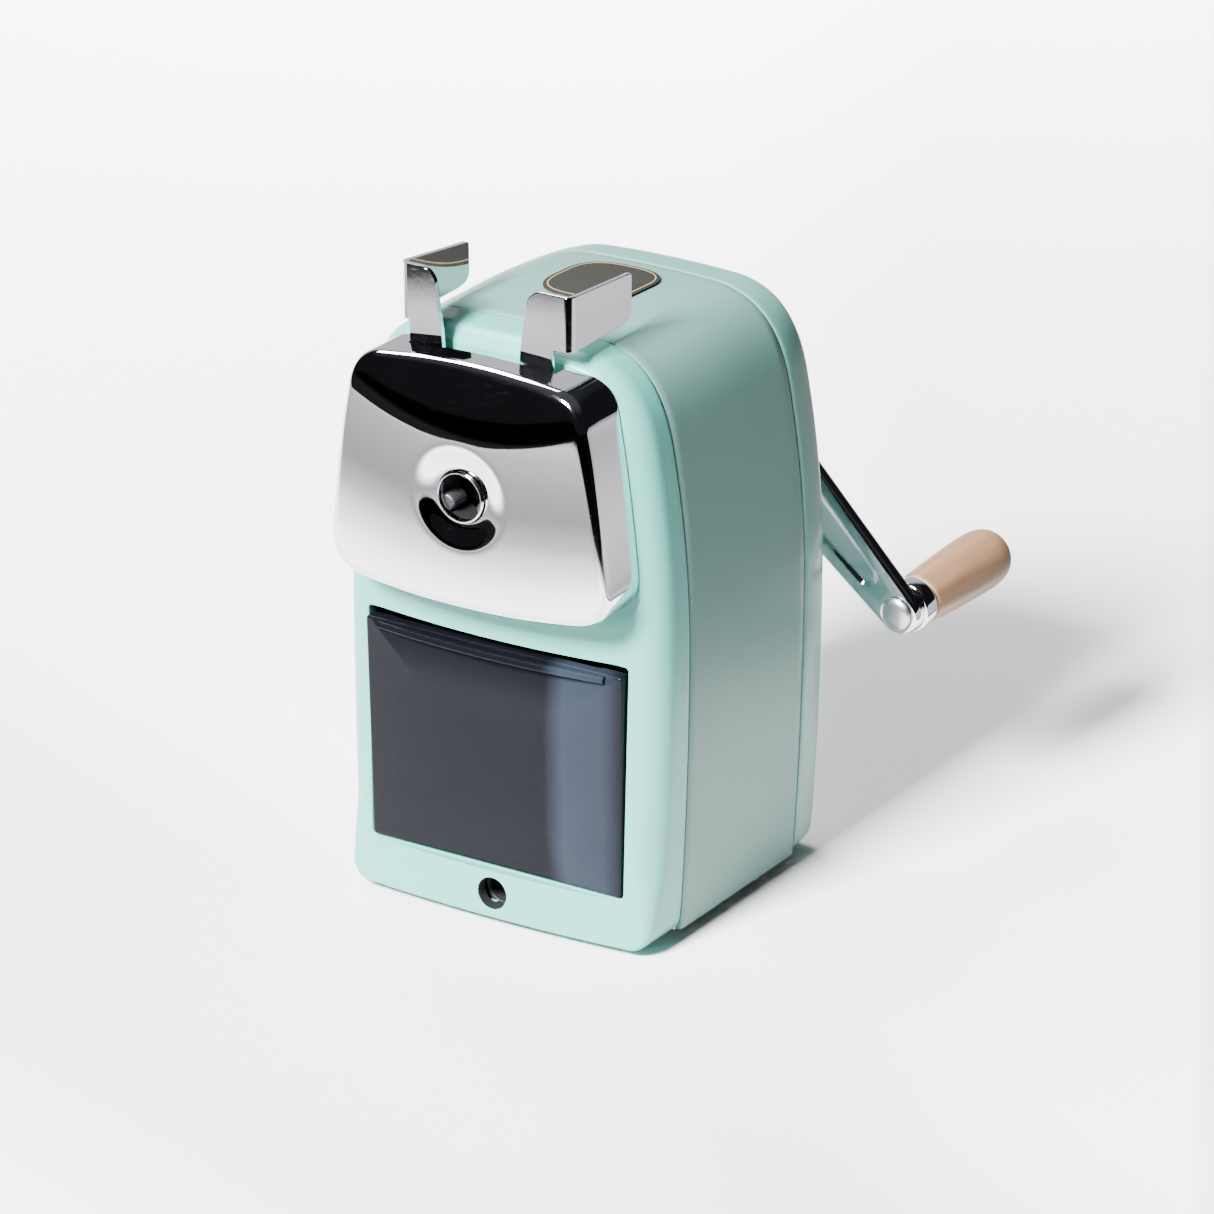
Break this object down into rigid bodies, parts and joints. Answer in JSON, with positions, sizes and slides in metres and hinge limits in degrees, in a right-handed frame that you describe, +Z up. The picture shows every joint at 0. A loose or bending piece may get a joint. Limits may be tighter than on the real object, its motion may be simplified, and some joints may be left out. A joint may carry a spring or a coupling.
{
  "type": "crank pencil sharpener",
  "caption": "Hand-cranked desk pencil sharpener with a sliding chrome head, pinch levers, a shavings drawer and a clamp hole in its foot.",
  "frame": {"origin": "centre of the underside of the base pad, on the table, under the middle of the case", "axes": "+X to the right seen from the front, -Y out of the front, +Y towards the crank, +Z up; the pencil axis is parallel to Y"},
  "size_m": [0.083, 0.1152, 0.125],
  "materials": {
    "mint_plastic": "smooth mint moulding",
    "mint_paint": "gloss mint paint on sheet steel",
    "chrome": "mirror chrome plate",
    "smoke_plastic": "clear smoked plastic",
    "black_plastic": "black moulding",
    "black_rubber": "non-slip rubber sheet",
    "steel": "plain steel",
    "tool_steel": "hardened tool steel",
    "grey_plastic": "grey acetal",
    "beige_wood": "satin beige wood",
    "label_foil": "plain dark label"
  },
  "bodies": {
    "case": {"front_panel": "mint_plastic", "body_shell": "mint_paint", "rear_panel": "mint_plastic", "rear_screw_left": "steel", "rear_screw_right": "steel", "base_plate": "steel", "base_pad": "black_rubber", "base_screw_left": "steel", "base_screw_right": "steel", "clamp_socket": "black_plastic", "top_label": "label_foil", "drawer_guide": "steel", "front_bearing": "grey_plastic", "rod_bushing_left": "grey_plastic", "rod_bushing_right": "grey_plastic", "mechanism_housing": "grey_plastic", "ring_gear": "steel"},
    "drawer": {"drawer": "smoke_plastic"},
    "head": {"head_cover": "chrome", "head_back_plate": "steel", "inlet_ring": "chrome", "chuck_housing": "grey_plastic", "lever_pin_left": "steel", "lever_pin_right": "steel", "lever_spring": "steel", "guide_rod_left": "chrome", "guide_rod_right": "chrome", "rod_collar_left": "steel", "rod_collar_right": "steel", "return_spring_left": "steel", "return_spring_right": "steel"},
    "lever_left": {"lever_left": "chrome"},
    "lever_right": {"lever_right": "chrome"},
    "jaw_top": {"jaw_top": "tool_steel"},
    "jaw_lower_left": {"jaw_lower_left": "tool_steel"},
    "jaw_lower_right": {"jaw_lower_right": "tool_steel"},
    "crank": {"crank_shaft": "steel", "crank_collar": "chrome", "crank_arm": "chrome", "crank_nut": "chrome", "knob_pin": "steel", "knob_ferrule": "chrome", "cutter_carrier": "grey_plastic"},
    "knob": {"knob": "beige_wood"},
    "cutter": {"cutter": "tool_steel", "cutter_axle": "steel", "cutter_pinion": "steel"}
  },
  "joints": [
    {"name": "crank_spin", "type": "hinge", "parent": "case", "child": "crank", "pos_m": [0, 0.0396, 0.0869], "axis": [0, 1, 0], "continuous": true},
    {"name": "cutter_spin", "type": "hinge", "parent": "crank", "child": "cutter", "pos_m": [0, 0.0195, 0.09215], "axis": [0, 0.9829, -0.184], "continuous": true},
    {"name": "knob_spin", "type": "hinge", "parent": "crank", "child": "knob", "pos_m": [0.0433, 0.0467, 0.0468], "axis": [0, 1, 0], "continuous": true},
    {"name": "head_slide", "type": "slide", "parent": "case", "child": "head", "axis": [0, -1, 0], "range_m": [0, 0.035], "stiffness_N_per_m": 120, "springref_m": -0.01, "deforming": ["return_spring_left", "return_spring_right"]},
    {"name": "lever_left_squeeze", "type": "hinge", "parent": "head", "child": "lever_left", "pos_m": [-0.012, -0.0305, 0.097], "axis": [0, 1, 0], "range_deg": [0, 12], "stiffness_Nm_per_rad": 0.2, "springref_deg": -11.46, "deforming": ["lever_spring"]},
    {"name": "lever_right_squeeze", "type": "hinge", "parent": "head", "child": "lever_right", "pos_m": [0.012, -0.0305, 0.097], "axis": [0, -1, 0], "range_deg": [0, 12], "stiffness_Nm_per_rad": 0.2, "springref_deg": -11.46},
    {"name": "jaw_top_grip", "type": "slide", "parent": "head", "child": "jaw_top", "axis": [0, 0, 1], "range_m": [0, 0.0015]},
    {"name": "jaw_lower_left_grip", "type": "slide", "parent": "head", "child": "jaw_lower_left", "axis": [-0.866, 0, -0.5], "range_m": [0, 0.0015]},
    {"name": "jaw_lower_right_grip", "type": "slide", "parent": "head", "child": "jaw_lower_right", "axis": [0.866, 0, -0.5], "range_m": [0, 0.0015]},
    {"name": "drawer_slide", "type": "slide", "parent": "case", "child": "drawer", "axis": [0, -1, 0], "range_m": [0, 0.052]}
  ],
  "couplings": [
    {"joint": "cutter_spin", "follows": "crank_spin", "ratio": -2},
    {"joint": "lever_right_squeeze", "follows": "lever_left_squeeze", "ratio": 1},
    {"joint": "jaw_top_grip", "follows": "lever_left_squeeze", "m_per_rad": 0.0071},
    {"joint": "jaw_lower_left_grip", "follows": "lever_left_squeeze", "m_per_rad": 0.0071},
    {"joint": "jaw_lower_right_grip", "follows": "lever_left_squeeze", "m_per_rad": 0.0071}
  ]
}
